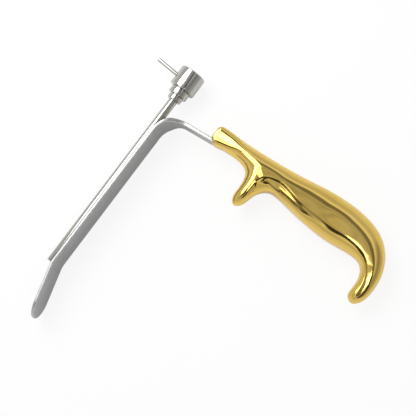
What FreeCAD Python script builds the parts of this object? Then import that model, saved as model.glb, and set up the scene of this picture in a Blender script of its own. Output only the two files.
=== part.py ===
import FreeCAD, Part
import math
import os

V = FreeCAD.Vector

# A hand-held lighted retractor, modelled on a drawing plane and then laid on its side.
# On the drawing plane the shank runs along +X from the corner where its inner line would meet the
# blade's, the blade hangs down -Y, and Z runs across the blade from the middle plane, which is z = 0.

# The blade: a flat strip, its toe turned towards the handle, rounded at the tip.
blade_width = 25.0
blade_thickness = 1.9
blade_length = 117.9
blade_lean = 4.95
toe_length = 36.6
toe_turn = 15.0
toe_round = 11.0
knee_radius = 16.0
bend_radius = 14.0
edge_round = 0.6

# The shank: the narrow bar from the bend into the handle, and the tang hidden in the handle.
shank_thickness = 2.75
shank_width = 12.0
shank_end_width = 11.2
shank_reach = 31.0
shoulder_start = 0.5
shoulder_length = 12.5
shoulder_bow = 0.4
feather_start = 1.0
feather_length = 4.0
tang_length = 21.0
tang_width = 8.4
tang_lift = 1.2
tang_top_step = 0.25

# The light guide: a tube soldered along the back of the blade, filled with glass fibre.
tube_diameter = 6.0
tube_wall = 0.6
tube_overhang = 0.8
glue_film = 0.05
seam_width = 2.3
seam_climb = 45.0
seam_root = 0.9
seam_margin = 2.0
seam_top_margin = 16.0

# The light-cable adapter, turned in steps round the top of the tube.
collar_start = 11.1
collar_diameter = 9.5
collar_length = 3.8
ring_diameter = 13.0
ring_length = 4.9
spigot_diameter = 11.4
spigot_length = 4.6
sleeve_diameter = 17.7
sleeve_length = 13.6
sleeve_chamfer = 0.6
port_diameter = 10.0
turned_chamfer = 0.3
ferrule_diameter = 7.6

# The side pin, set into the sleeve.
pin_diameter = 2.6
pin_length = 16.2
pin_depth = 2.6
pin_height = 6.8
pin_tilt = 4.5
pin_dome = 0.5

# The handle, measured from its front face along the shank's line: its outline seen from the side,
# clockwise from the middle of the front face, in runs between the corners of its panels.
above_neck = [(0.3, 6.6), (0.85, 10.3), (2.3, 12.2), (5.0, 12.65), (14.5, 11.85), (25.0, 11.15)]
above_grip = [
    (37.0, 10.65), (49.0, 10.5), (65.0, 10.85), (81.0, 11.7), (97.0, 11.3), (112.6, 8.4), (125.0, 2.2),
    (133.2, -8.2), (136.4, -20.0), (135.9, -31.0), (133.2, -38.4)]
below_grip = [
    (128.2, -41.7), (124.6, -39.0), (124.3, -33.6), (124.5, -26.2), (120.8, -18.7), (113.0, -16.4),
    (97.5, -16.5), (81.5, -14.7), (65.5, -11.3), (55.5, -8.85)]
behind_guard = [(49.2, -8.9), (44.4, -12.6), (40.9, -19.8), (37.6, -25.6)]
before_guard = [(34.6, -26.9), (31.9, -24.4), (31.3, -18.5), (31.6, -11.5)]
below_neck = [(29.9, -5.2), (24.5, -1.7), (16.0, -0.5), (8.0, -0.3), (2.4, -0.25), (0.3, 2.2)]

# Half the handle's thickness along its crest, the line where it is thickest.
neck_half = 7.0
fork_half = 8.6
palm_half = 10.6
hook_half = 5.0
guard_half = 4.6

# The crest: runs of (x, y, share of the change in half thickness) from the front to the fork, on to
# the middle of the palm swell, on to the hook, and from the fork down the finger guard.
neck_crest = [(3.2, 6.6, 0.0), (14.0, 6.0, 0.05), (25.0, 4.9, 0.4), (37.0, 1.9, 1.0)]
palm_crest = [(49.0, 0.6, 0.275), (65.0, -0.3, 0.6), (81.0, -1.4, 0.875), (97.0, -2.6, 1.0)]
hook_crest = [
    (109.0, -4.6, 0.12), (119.0, -9.4, 0.33), (125.8, -16.6, 0.53), (129.4, -25.0, 0.69), (129.6, -36.4, 1.0)]
guard_crest = [(38.0, -5.0, 0.175), (37.8, -12.0, 0.425), (36.8, -18.0, 0.675), (35.5, -23.3, 1.0)]

# How square each panel's section is (2 is an ellipse): marks of (share of the crest's run, power),
# the same where two panels meet.
neck_above_square = [(0.0, 5.0), (0.2, 4.0), (0.6, 2.2), (1.0, 2.4)]
neck_below_square = [(0.0, 5.0), (0.2, 4.0), (0.6, 1.9), (1.0, 2.0)]
grip_above_square = [(0.0, 2.4), (0.3, 3.0), (0.6, 2.8), (1.0, 2.1)]
grip_below_square = [(0.0, 2.0), (0.3, 2.8), (0.6, 2.7), (1.0, 2.1)]
guard_behind_square = [(0.0, 2.0), (0.3, 1.6), (0.7, 1.7), (1.0, 2.1)]
guard_before_square = [(0.0, 2.0), (1.0, 2.1)]

# How finely the panels are ribbed.
ribs_across = 12
neck_ribs = 20
grip_ribs = 36
guard_ribs = 18

# How fast the ribs advance at the two ends of a run, against an even pace.
neck_pace = (0.35, 1.2)
grip_pace = (1.1, 0.3)
guard_pace = (1.0, 0.3)
neck_edge_pace = (1.6, 0.85)
grip_edge_pace = (0.95, 1.25)
guard_edge_pace = (0.9, 1.3)

# How it lies: the shank's turn from the X axis.
rest_turn = -31.9

# The blade's own directions: up along its main length, and out from its back.
up_blade = V(math.sin(math.radians(blade_lean)), math.cos(math.radians(blade_lean)), 0)
back_of_blade = V(-up_blade.y, up_blade.x, 0)
tube_radius = tube_diameter / 2
tube_axis = back_of_blade * (blade_thickness + tube_radius)
ring_start = collar_start + collar_length
sleeve_start = ring_start + ring_length
port_floor = sleeve_start + spigot_length


def turned(direction, degrees):
    """A direction of the drawing plane, turned anticlockwise."""
    return FreeCAD.Rotation(V(0, 0, 1), degrees).multVec(direction)


def meeting(point_a, along_a, point_b, along_b):
    """Where two lines of the drawing plane meet."""
    across = along_a.x * along_b.y - along_a.y * along_b.x
    gap = point_b - point_a
    return point_a + along_a * ((gap.x * along_b.y - gap.y * along_b.x) / across)


def rounded_outline(corners):
    """A closed wire through (point, radius) corners, each with a tangent arc of its radius."""
    ends = []
    for k, (corner, radius) in enumerate(corners):
        before = (corners[k - 1][0] - corner).normalize()
        after = (corners[(k + 1) % len(corners)][0] - corner).normalize()
        half = before.getAngle(after) / 2
        reach = radius / math.tan(half)
        middle = corner + (before + after).normalize() * (radius / math.sin(half) - radius)
        ends.append((corner + before * reach, middle, corner + after * reach, radius))
    edges = []
    for k, (arc_start, middle, arc_end, radius) in enumerate(ends):
        if radius > 0:
            edges.append(Part.Arc(arc_start, middle, arc_end).toShape())
        edges.append(Part.makeLine(arc_end, ends[(k + 1) % len(ends)][0]))
    return Part.Wire(edges)


def plate(wire, low, high):
    """A flat outline on the drawing plane, raised from z = low to z = high."""
    face = Part.Face(wire)
    face.translate(V(0, 0, low))
    return face.extrude(V(0, 0, high - low))


def on_tube(height):
    """The point of the tube's axis at a height above the corner."""
    return tube_axis + up_blade * height


def strip():
    """The bent strip seen from the side: shank, bend, blade, knee and toe, at full width."""
    toe = turned(up_blade * -1, toe_turn)
    toe_back = turned(toe, -90)
    knee = up_blade * -blade_length
    tip = knee + toe * toe_length
    blade_back = back_of_blade * blade_thickness
    shank_back = V(0, shank_thickness, 0)
    outer_corner = meeting(blade_back, up_blade, shank_back, V(1, 0, 0))
    outer_knee = meeting(blade_back, up_blade, tip + toe_back * blade_thickness, toe)
    feather_end = shank_reach + feather_start + feather_length
    wire = rounded_outline([
        (V(0, 0, 0), bend_radius),
        (knee, knee_radius),
        (tip, 0),
        (tip + toe_back * blade_thickness, 0),
        (outer_knee, knee_radius + blade_thickness),
        (outer_corner, bend_radius + shank_thickness),
        (V(feather_end, shank_thickness, 0), 0),
        (V(feather_end, tang_lift, 0), 0),
        (V(shank_reach + feather_start, 0, 0), 0),
    ])
    return plate(wire, -blade_width / 2, blade_width / 2), knee, toe


def shank_plan():
    """The strip's width seen along the blade: full, then shouldered down to the shank's width."""
    half = blade_width / 2
    half_shank = shank_width / 2
    half_end = shank_end_width / 2
    far = shank_reach + feather_start + feather_length
    near = -blade_length
    waist = shoulder_start + shoulder_length

    def shoulder(side):
        bow = Part.BezierCurve()
        bow.setPoles([
            V(shoulder_start, 0, side * half),
            V(shoulder_start + shoulder_length * shoulder_bow, 0, side * half),
            V(waist - shoulder_length * (1 - shoulder_bow), 0, side * half_shank),
            V(waist, 0, side * half_shank),
        ])
        return bow.toShape()

    edges = [
        Part.makeLine(V(near, 0, half), V(shoulder_start, 0, half)),
        shoulder(1),
        Part.makeLine(V(waist, 0, half_shank), V(far, 0, half_end)),
        Part.makeLine(V(far, 0, half_end), V(far, 0, -half_end)),
        Part.makeLine(V(far, 0, -half_end), V(waist, 0, -half_shank)),
        shoulder(-1),
        Part.makeLine(V(shoulder_start, 0, -half), V(near, 0, -half)),
        Part.makeLine(V(near, 0, -half), V(near, 0, half)),
    ]
    depth = blade_length + 2 * toe_length
    face = Part.Face(Part.Wire(Part.__sortEdges__(edges)))
    face.translate(V(0, -depth, 0))
    return face.extrude(V(0, 2 * depth, 0))


def toe_plan(knee, toe):
    """The strip seen square on to the toe: straight sides, and half an ellipse at the tip."""
    half = blade_width / 2
    shoulder = toe_length - toe_round
    back = -(blade_length + shank_reach) * 2
    squash = FreeCAD.Matrix()
    squash.scale(1, toe_round / half, 1)
    tip = Part.Arc(V(half, 0, 0), V(0, half, 0), V(-half, 0, 0)).toShape().transformGeometry(squash)
    tip.translate(V(0, shoulder, 0))
    sides = Part.makePolygon(
        [V(half, shoulder, 0), V(half, back, 0), V(-half, back, 0), V(-half, shoulder, 0)])
    face = Part.Face(Part.Wire([tip] + sides.Edges))
    face.translate(V(0, 0, -blade_length))
    body = face.extrude(V(0, 0, 2 * blade_length))
    body.Placement = FreeCAD.Placement(knee, FreeCAD.Rotation(V(0, 0, 1), toe, V(0, 0, 0), "ZYX"))
    return body


def blade_strip():
    """The bent strip cut to its width, with its long edges rounded."""
    body, knee, toe = strip()
    body = body.common(shank_plan()).common(toe_plan(knee, toe)).removeSplitter()
    long_edges = [edge for edge in body.Edges if edge.Length > blade_thickness + shank_thickness]
    return body.makeFillet(edge_round, long_edges)


def tang():
    """The tongue of the shank that is brazed into the handle."""
    height = shank_thickness - tang_top_step - tang_lift
    return Part.makeBox(tang_length, height, tang_width, V(shank_reach, tang_lift, -tang_width / 2))


def ease(share, start_rate, end_rate):
    """Runs from 0 to 1 with the share, at the given rates at its two ends."""
    bend = start_rate + end_rate - 2
    lift = 3 - 2 * start_rate - end_rate
    return bend * share ** 3 + lift * share ** 2 + start_rate * share


def between(marks, share):
    """The value at a share of the marks' run, eased level from each (place, value) mark to the next."""
    place = share * marks[-1][0]
    start = max(k for k in range(len(marks) - 1) if marks[k][0] <= place)
    (low, first), (high, last) = marks[start], marks[start + 1]
    return first + (last - first) * ease((place - low) / (high - low), 0, 0)


def spline(points, closed=False):
    """A smooth curve through points."""
    curve = Part.BSplineCurve()
    curve.interpolate(Points=points, PeriodicFlag=closed)
    return curve


def even_spline(points):
    """A smooth curve through points, in equal steps of its parameter."""
    steps = len(points) - 1
    curve = Part.BSplineCurve()
    curve.interpolate(Points=points, Parameters=[k / steps for k in range(steps + 1)])
    return curve


def walk(curve, start, end, shares):
    """Parameters of a curve at shares of its length, from one parameter to another, either way."""
    low, high = min(start, end), max(start, end)
    length = curve.length(low, high)
    if end < start:
        shares = [1 - share for share in shares]
    return [curve.parameterAtDistance(share * length, low) for share in shares]


def skin(rows):
    """A cubic surface through rows of points, in equal steps, so that neighbours share an edge."""
    across = [even_spline(row) for row in rows]
    poles = [curve.getPoles() for curve in across]
    along = [even_spline(list(line)) for line in zip(*poles)]
    net = [curve.getPoles() for curve in along]
    surface = Part.BSplineSurface()
    surface.buildFromPolesMultsKnots(
        net, across[0].getMultiplicities(), along[0].getMultiplicities(),
        across[0].getKnots(), along[0].getKnots(), False, False, 3, 3)
    return surface.toShape()


def quarter(square):
    """(Share of the way out, share of the height) from the outline up to the crest."""
    shape = []
    for k in range(ribs_across + 1):
        angle = math.pi / 2 * k / ribs_across
        out, rise = math.cos(angle), math.sin(angle)
        reach = (out ** square + rise ** square) ** (-1 / square)
        shape.append((out * reach, rise * reach))
    return shape


def climb(ridge, place):
    """How fast the half thickness grows along a crest, as a direction on the drawing plane."""
    slope = ridge.tangent(place)[0]
    run = V(slope.x, slope.y, 0)
    return run * (slope.z / run.Length ** 2)


def crest_points(run, start_half, end_half):
    """Points (x, y, half thickness) of a run of the crest, from its shares of the change."""
    return [V(shank_reach + x, y, start_half + (end_half - start_half) * share) for x, y, share in run]


def guard_ridge(fork_point, fork_climb):
    """The finger guard's crest, which leaves the fork as steeply as the main crest passes it."""
    points = [fork_point] + crest_points(guard_crest, fork_half, guard_half)
    away = V(points[1].x - fork_point.x, points[1].y - fork_point.y, 0)
    start = V(away.x, away.y, fork_climb.dot(away))
    curve = Part.BSplineCurve()
    curve.interpolate(
        Points=points, Tangents=[start] * len(points), TangentFlags=[k == 0 for k in range(len(points))])
    return curve


def panel(outline, edge, edge_rates, squares, ridge, ridge_ends, ridge_rates, ribs, fork_climb=V()):
    """One panel of the handle's near half, swept in ribs from its outline up to its crest."""
    shares = [k / ribs for k in range(ribs + 1)]
    outer = walk(outline, edge[0], edge[1], [ease(share, *edge_rates) for share in shares])
    inner = walk(ridge, ridge_ends[0], ridge_ends[1], [ease(share, *ridge_rates) for share in shares])
    first_run = ridge.tangent(ridge_ends[0])[0]
    first_run.z = 0
    first_run.normalize()
    side_climb = fork_climb - first_run * fork_climb.dot(first_run)
    rows = []
    for share, at_edge, at_ridge in zip(shares, outer, inner):
        foot = outline.value(at_edge)
        top = ridge.value(at_ridge)
        out = V(foot.x - top.x, foot.y - top.y, 0)
        lean = (climb(ridge, at_ridge) + side_climb * (1 - share) ** 2).dot(out)
        square = between(squares, ease(share, *ridge_rates))
        rows.append([
            V(top.x + out.x * far, top.y + out.y * far, (top.z + lean * far) * rise)
            for far, rise in quarter(square)])
    return skin(rows)


def handle_body():
    """The cast handle: six panels meeting along the crest, and the same six mirrored."""
    runs = [above_neck, above_grip, below_grip, behind_guard, before_guard, below_neck]
    outline = spline([V(shank_reach + x, y, 0) for run in runs for x, y in run], closed=True)
    knots = outline.getKnots()
    counts = [len(run) for run in runs]
    corners = [knots[sum(counts[:k])] for k in range(len(runs) + 1)]
    front, above_fork, hook_tip, behind_fork, guard_tip, before_fork, round_again = corners
    to_fork = crest_points(neck_crest, neck_half, fork_half)
    to_palm = crest_points(palm_crest, fork_half, palm_half)
    to_hook = crest_points(hook_crest, palm_half, hook_half)
    ridge = spline(to_fork + to_palm + to_hook)
    forked = ridge.getKnots()[len(to_fork) - 1]
    fork_climb = climb(ridge, forked)
    guard = guard_ridge(to_fork[-1], fork_climb)
    neck = (ridge, (ridge.FirstParameter, forked), neck_pace, neck_ribs)
    grip = (ridge, (forked, ridge.LastParameter), grip_pace, grip_ribs)
    horn = (guard, (guard.FirstParameter, guard.LastParameter), guard_pace, guard_ribs, fork_climb)
    panels = [
        panel(outline, (front, above_fork), neck_edge_pace, neck_above_square, *neck),
        panel(outline, (round_again, before_fork), neck_edge_pace, neck_below_square, *neck),
        panel(outline, (above_fork, hook_tip), grip_edge_pace, grip_above_square, *grip),
        panel(outline, (behind_fork, hook_tip), grip_edge_pace, grip_below_square, *grip),
        panel(outline, (behind_fork, guard_tip), guard_edge_pace, guard_behind_square, *horn),
        panel(outline, (before_fork, guard_tip), guard_edge_pace, guard_before_square, *horn),
    ]
    mirrored = [face.mirror(V(0, 0, 0), V(0, 0, 1)) for face in panels]
    skins = Part.Compound(panels + mirrored)
    skins.sewShape()
    body = Part.Solid(Part.Shell(skins.Faces))
    if body.Volume < 0:
        body.reverse()
    return body


def light_tube():
    """The guide tube, square at its lower end and open right through."""
    low = -(blade_length + tube_overhang)
    outer = Part.makeCylinder(tube_radius, sleeve_start - low, on_tube(low), up_blade)
    bore = Part.makeCylinder(tube_radius - tube_wall, sleeve_start - low, on_tube(low), up_blade)
    return outer.cut(bore)


def fibre_bundle():
    """The glass fibres, potted in the tube and the ferrule and polished flush at both ends."""
    low = -(blade_length + tube_overhang)
    radius = tube_radius - tube_wall - glue_film
    return Part.makeCylinder(radius, port_floor - low, on_tube(low), up_blade)


def stepped(profile, height):
    """A turned piece of the adapter, from (radius, height) corners above its own foot."""
    wire = Part.makePolygon([V(radius, 0, rise) for radius, rise in profile + profile[:1]])
    body = Part.Face(wire).revolve(V(0, 0, 0), V(0, 0, 1), 360)
    body.Placement = FreeCAD.Placement(on_tube(height), FreeCAD.Rotation(V(0, 0, 1), up_blade))
    return body


def tube_collar():
    """The collar soldered round the tube under the adapter."""
    radius = collar_diameter / 2
    edge = turned_chamfer
    return stepped([
        (tube_radius, 0), (radius - edge, 0), (radius, edge), (radius, collar_length),
        (tube_radius, collar_length)], collar_start)


def adapter_body():
    """The adapter's foot: a ring that stands on the collar, and the spigot inside the sleeve."""
    ring = ring_diameter / 2
    spigot = spigot_diameter / 2
    seat = ferrule_diameter / 2
    edge = turned_chamfer
    top = ring_length + spigot_length
    return stepped([
        (tube_radius, 0), (ring - edge, 0), (ring, edge), (ring, ring_length), (spigot, ring_length),
        (spigot, top), (seat, top), (seat, ring_length), (tube_radius, ring_length)], ring_start)


def fibre_ferrule():
    """The polished end sleeve of the fibre bundle, seated in the spigot."""
    bore = tube_radius - tube_wall
    outside = ferrule_diameter / 2
    return stepped([(bore, 0), (outside, 0), (outside, spigot_length), (bore, spigot_length)], sleeve_start)


def side_pin():
    """The round pin that stands out of the sleeve, domed at its end."""
    radius = pin_diameter / 2
    length = pin_depth + pin_length
    shaft = length - pin_dome
    swell = (radius ** 2 + pin_dome ** 2) / (2 * pin_dome)
    arc_middle = math.asin(radius / swell) / 2
    centre = length - swell
    dome = Part.Arc(
        V(radius, 0, shaft), V(swell * math.sin(arc_middle), 0, centre + swell * math.cos(arc_middle)),
        V(0, 0, length)).toShape()
    sides = Part.makePolygon([V(0, 0, length), V(0, 0, 0), V(radius, 0, 0), V(radius, 0, shaft)])
    body = Part.Face(Part.Wire([dome] + sides.Edges)).revolve(V(0, 0, 0), V(0, 0, 1), 360)
    out = turned(back_of_blade, -pin_tilt)
    foot = on_tube(sleeve_start + pin_height) + back_of_blade * (sleeve_diameter / 2) - out * pin_depth
    body.Placement = FreeCAD.Placement(foot, FreeCAD.Rotation(V(0, 0, 1), out))
    return body


def adapter_sleeve(pin):
    """The sleeve over the spigot: the port for the light cable above, and the pin's blind hole."""
    outside = sleeve_diameter / 2
    spigot = spigot_diameter / 2
    port = port_diameter / 2
    rim = sleeve_chamfer
    edge = turned_chamfer
    body = stepped([
        (spigot, 0), (outside - edge, 0), (outside, edge), (outside, sleeve_length - rim),
        (outside - rim, sleeve_length), (port + rim, sleeve_length), (port, sleeve_length - rim),
        (port, spigot_length), (spigot, spigot_length)], sleeve_start)
    return body.cut(pin)


def solder_seam(side):
    """The solder in the corner between the tube and the blade, on one side."""
    low = -(blade_length - seam_margin)
    high = -seam_top_margin
    climbed = math.radians(seam_climb)
    corners = [
        (seam_root, 0), (seam_width, 0),
        (tube_radius * math.sin(climbed), tube_radius * (1 - math.cos(climbed))),
        (seam_root, tube_radius)]
    foot = back_of_blade * blade_thickness + up_blade * low
    points = [foot + back_of_blade * rise + V(0, 0, side * across) for across, rise in corners]
    wedge = Part.Face(Part.makePolygon(points + points[:1])).extrude(up_blade * (high - low))
    return wedge.cut(Part.makeCylinder(tube_radius, high - low, on_tube(low), up_blade))


def pieces():
    """Every piece by name, on the drawing plane."""
    body = handle_body()
    tongue = tang()
    pin = side_pin()
    return {
        "blade": blade_strip().cut(body).fuse(tongue).removeSplitter(),
        "handle": body.cut(tongue),
        "light_tube": light_tube(),
        "fibre_bundle": fibre_bundle(),
        "fibre_ferrule": fibre_ferrule(),
        "tube_collar": tube_collar(),
        "adapter_body": adapter_body(),
        "adapter_sleeve": adapter_sleeve(pin),
        "side_pin": pin,
        "solder_seam_near": solder_seam(1),
        "solder_seam_far": solder_seam(-1),
    }


def laid_down(parts):
    """The pieces turned as they lie, with the origin under the middle of the whole."""
    for shape in parts.values():
        shape.rotate(V(0, 0, 0), V(0, 0, 1), rest_turn)
    box = Part.Compound(list(parts.values())).optimalBoundingBox()
    middle = V(-(box.XMin + box.XMax) / 2, -(box.YMin + box.YMax) / 2, -box.ZMin)
    for shape in parts.values():
        shape.translate(middle)
    return middle


if __name__ == "__main__":
    os.makedirs("parts", exist_ok=True)
    parts = pieces()
    corner = laid_down(parts)
    print("corner of shank and blade at", [round(value, 3) for value in corner])
    for name, shape in parts.items():
        print(name, shape.isValid(), len(shape.Solids), round(shape.Volume, 1))
        shape.exportStep("parts/" + name + ".step")
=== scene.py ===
"""The looks of a hand-held lighted retractor: gold handle, satin blade, polished light guide."""
import logging
import math
from dataclasses import dataclass
from enum import Enum
from typing import Sequence

import bpy
import numpy as np
from mathutils import Matrix, Vector


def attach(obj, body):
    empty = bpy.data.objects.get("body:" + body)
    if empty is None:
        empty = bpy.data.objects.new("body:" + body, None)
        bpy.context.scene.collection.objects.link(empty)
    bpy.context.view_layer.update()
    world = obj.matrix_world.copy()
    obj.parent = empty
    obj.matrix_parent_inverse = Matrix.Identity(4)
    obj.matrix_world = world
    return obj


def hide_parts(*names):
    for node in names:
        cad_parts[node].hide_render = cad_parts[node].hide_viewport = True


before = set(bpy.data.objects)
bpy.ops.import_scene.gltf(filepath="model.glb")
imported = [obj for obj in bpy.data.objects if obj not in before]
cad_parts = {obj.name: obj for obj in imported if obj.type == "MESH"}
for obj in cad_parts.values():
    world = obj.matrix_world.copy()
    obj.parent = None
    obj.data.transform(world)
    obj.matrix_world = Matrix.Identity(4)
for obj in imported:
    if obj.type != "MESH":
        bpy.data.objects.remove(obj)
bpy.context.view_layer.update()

Array = np.ndarray
Pair = tuple[float, float]
Triple = tuple[float, float, float]
Pairs = tuple[Pair, ...]
Triples = tuple[Triple, ...]
Socket = bpy.types.NodeSocket

LOG = logging.getLogger("retractor")
MM = 0.001
BODY = "root"
WHITE = (1.0, 1.0, 1.0, 1.0)
MIRROR = np.array([1.0, 1.0, -1.0])
ACROSS = np.array([0.0, 0.0, 1.0])

# Measures, in millimetres, that more than one piece needs.
BLADE_LENGTH = 117.9
BLADE_THICKNESS = 1.9
SHANK_REACH = 31.0


class Slot(Enum):
    """The record's material slots."""

    BLADE = "satin_steel"
    HANDLE = "gold_plate"
    LIGHT_GUIDE = "polished_steel"
    SOLDER = "silver_solder"
    FIBRE = "fibre_glass"


def turn_about_z(points: Array, degrees: float) -> Array:
    """Points or a direction, (..., 3), turned about Z."""
    angle = math.radians(degrees)
    cos, sin = math.cos(angle), math.sin(angle)
    return points @ np.array([[cos, sin, 0.0], [-sin, cos, 0.0], [0.0, 0.0, 1.0]])


def towards(azimuth: float, zenith: float) -> Triple:
    """The direction at an azimuth and at an angle from straight up, both in degrees."""
    azimuth, zenith = math.radians(azimuth), math.radians(zenith)
    out = math.sin(zenith)
    return out * math.cos(azimuth), out * math.sin(azimuth), math.cos(zenith)


def ease(shares: Array, start: float, end: float) -> Array:
    """Run from 0 to 1 with the share, as the cubic with the given rates at its two ends."""
    return (start + end - 2) * shares**3 + (3 - 2 * start - end) * shares**2 + start * shares


def arched(start: Array, control: Array, end: Array, count: int) -> Array:
    """Points of the curve (1 - t)^2 start + 2 t (1 - t) control + t^2 end."""
    t = np.linspace(0, 1, count)[:, None]
    return (1 - t) ** 2 * start + 2 * t * (1 - t) * control + t**2 * end


@dataclass(frozen=True)
class DrawingPlane:
    """The plane that the part is drawn on, in millimetres, and how it lies in the frame.

    The shank runs along +X from the corner where its inner line meets the blade's, the blade
    hangs down -Y and z = 0 is the middle plane.
    """

    turn: float = -31.9
    corner: Triple = (-24.667, 43.628, 12.5)
    blade_lean: float = 4.95

    def lay(self, points: Array) -> Array:
        """Turn points about Z by the rest angle and shift them to where the corner lies.

        Args:
            points: (n, 3) points on the drawing plane, in millimetres.

        Returns:
            The points in the frame, in metres.
        """
        return (turn_about_z(points, self.turn) + np.array(self.corner)) * MM

    def up_blade(self) -> Array:
        """The direction up along the blade's main length."""
        lean = math.radians(self.blade_lean)
        return np.array([math.sin(lean), math.cos(lean), 0.0])

    def back_of_blade(self) -> Array:
        """The direction out from the blade's back."""
        up = self.up_blade()
        return np.array([-up[1], up[0], 0.0])


PLANE = DrawingPlane()


@dataclass(frozen=True)
class Surface:
    """Points on the drawing plane in millimetres, their faces, and a wear value for each."""

    points: Array
    faces: list[tuple[int, ...]]
    wear: Array

    def joined(self, *others: "Surface") -> "Surface":
        """This surface and others as one, still unwelded."""
        points, faces, wear, start = [], [], [], 0
        for part in (self, *others):
            points.append(part.points)
            wear.append(part.wear)
            faces.extend(tuple(corner + start for corner in face) for face in part.faces)
            start += len(part.points)
        return Surface(np.concatenate(points), faces, np.concatenate(wear))

    def welded(self, grain: float = 2e-4) -> "Surface":
        """Merge the points that fall in the same cell of a fine grid and drop collapsed faces.

        Args:
            grain: the cell's side in millimetres.

        Returns:
            A closed surface, if its parts met edge to edge.
        """
        cells = np.round(self.points / grain).astype(np.int64)
        _, first, merged = np.unique(cells, axis=0, return_index=True, return_inverse=True)
        merged = merged.reshape(-1)
        faces = []
        for face in self.faces:
            ring = [int(merged[corner]) for corner in face]
            ring = [corner for k, corner in enumerate(ring) if corner != ring[k - 1]]
            if len(ring) > 2:
                faces.append(tuple(ring))
        return Surface(self.points[first], faces, self.wear[first])


def grid_surface(points: Array, flip: bool = False, wear: Array | None = None) -> Surface:
    """Quads between the neighbours of a grid of points.

    Args:
        points: (rows, columns, 3) grid on the drawing plane.
        flip: whether the faces wind the other way.
        wear: (columns,) values, the same in each row, or None for no wear.

    Returns:
        The open grid as a surface.
    """
    rows, columns = points.shape[:2]
    index = np.arange(rows * columns).reshape(rows, columns)
    corners = [index[:-1, :-1], index[1:, :-1], index[1:, 1:], index[:-1, 1:]]
    quads = np.stack([corner.reshape(-1) for corner in corners], axis=1)
    if flip:
        quads = quads[:, ::-1]
    worn = np.tile(np.zeros(columns) if wear is None else wear, rows)
    return Surface(points.reshape(-1, 3), [tuple(quad) for quad in quads.tolist()], worn)


def make_piece(name: str, surface: Surface, material: bpy.types.Material, slot: Slot,
               nodes: Sequence[str]) -> bpy.types.Object:
    """Put a surface into the scene as a piece of the object.

    Args:
        name: the piece's name.
        surface: its welded surface, on the drawing plane.
        material: its finish.
        slot: the record's slot that the finish stands for; not used.
        nodes: the CAD nodes that it replaces.

    Returns:
        The piece, riding on the part's one body.
    """
    mesh = bpy.data.meshes.new(name)
    mesh.from_pydata(PLANE.lay(surface.points).tolist(), [], surface.faces)
    mesh.validate()
    worn = mesh.attributes.new("wear", "FLOAT", "POINT")
    worn.data.foreach_set("value", surface.wear.astype(np.float32))
    mesh.polygons.foreach_set("use_smooth", np.ones(len(mesh.polygons), dtype=bool))
    mesh.materials.append(material)
    piece = bpy.data.objects.new(name, mesh)
    bpy.context.scene.collection.objects.link(piece)
    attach(piece, BODY)
    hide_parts(*nodes)
    return piece


@dataclass(frozen=True)
class Grain:
    """A noise on the object's own coordinates, and the bump that it gives.

    Attributes:
        scale: cells per metre.
        detail: octaves of finer noise.
        roughness: how strong each octave is against the one before.
        turn: the direction that the grain runs in, in degrees about Z.
        squeeze: how many times finer it is across that direction than along it.
        strength: the bump's strength.
        depth: the bump's depth in metres.
    """

    scale: float
    detail: float
    roughness: float = 0.55
    turn: float = 0.0
    squeeze: float = 1.0
    strength: float = 0.0
    depth: float = 0.0


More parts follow.
